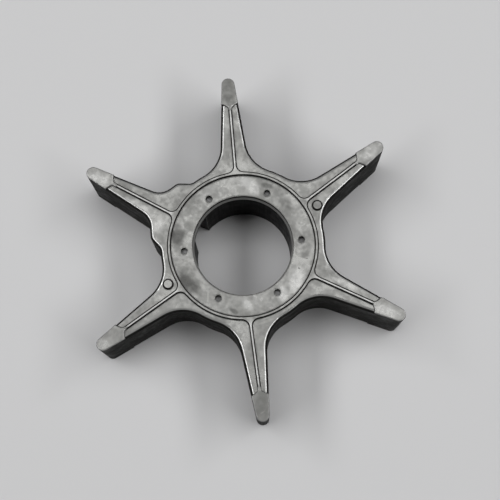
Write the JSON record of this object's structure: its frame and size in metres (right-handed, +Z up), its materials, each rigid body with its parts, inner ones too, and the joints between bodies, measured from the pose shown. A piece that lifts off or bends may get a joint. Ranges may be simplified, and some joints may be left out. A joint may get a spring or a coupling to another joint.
{
  "type": "rubber pump impeller",
  "caption": "Flexible-vane rubber pump impeller with ribbed star-shaped faces, solid vane tips and a bonded hub insert with a blind-ended keyway.",
  "frame": {"origin": "on the shaft axis, in the plane of the hub insert's lower end", "axes": "+Z up the shaft towards the face with the pin holes, +X along the vane that stands over the keyway"},
  "size_m": [0.0788, 0.0691, 0.0175],
  "materials": {
    "moulded_rubber": "satin",
    "insert_resin": "matte"
  },
  "bodies": {
    "root": {"rubber_body": "moulded_rubber", "hub_insert": "insert_resin"}
  },
  "joints": []
}
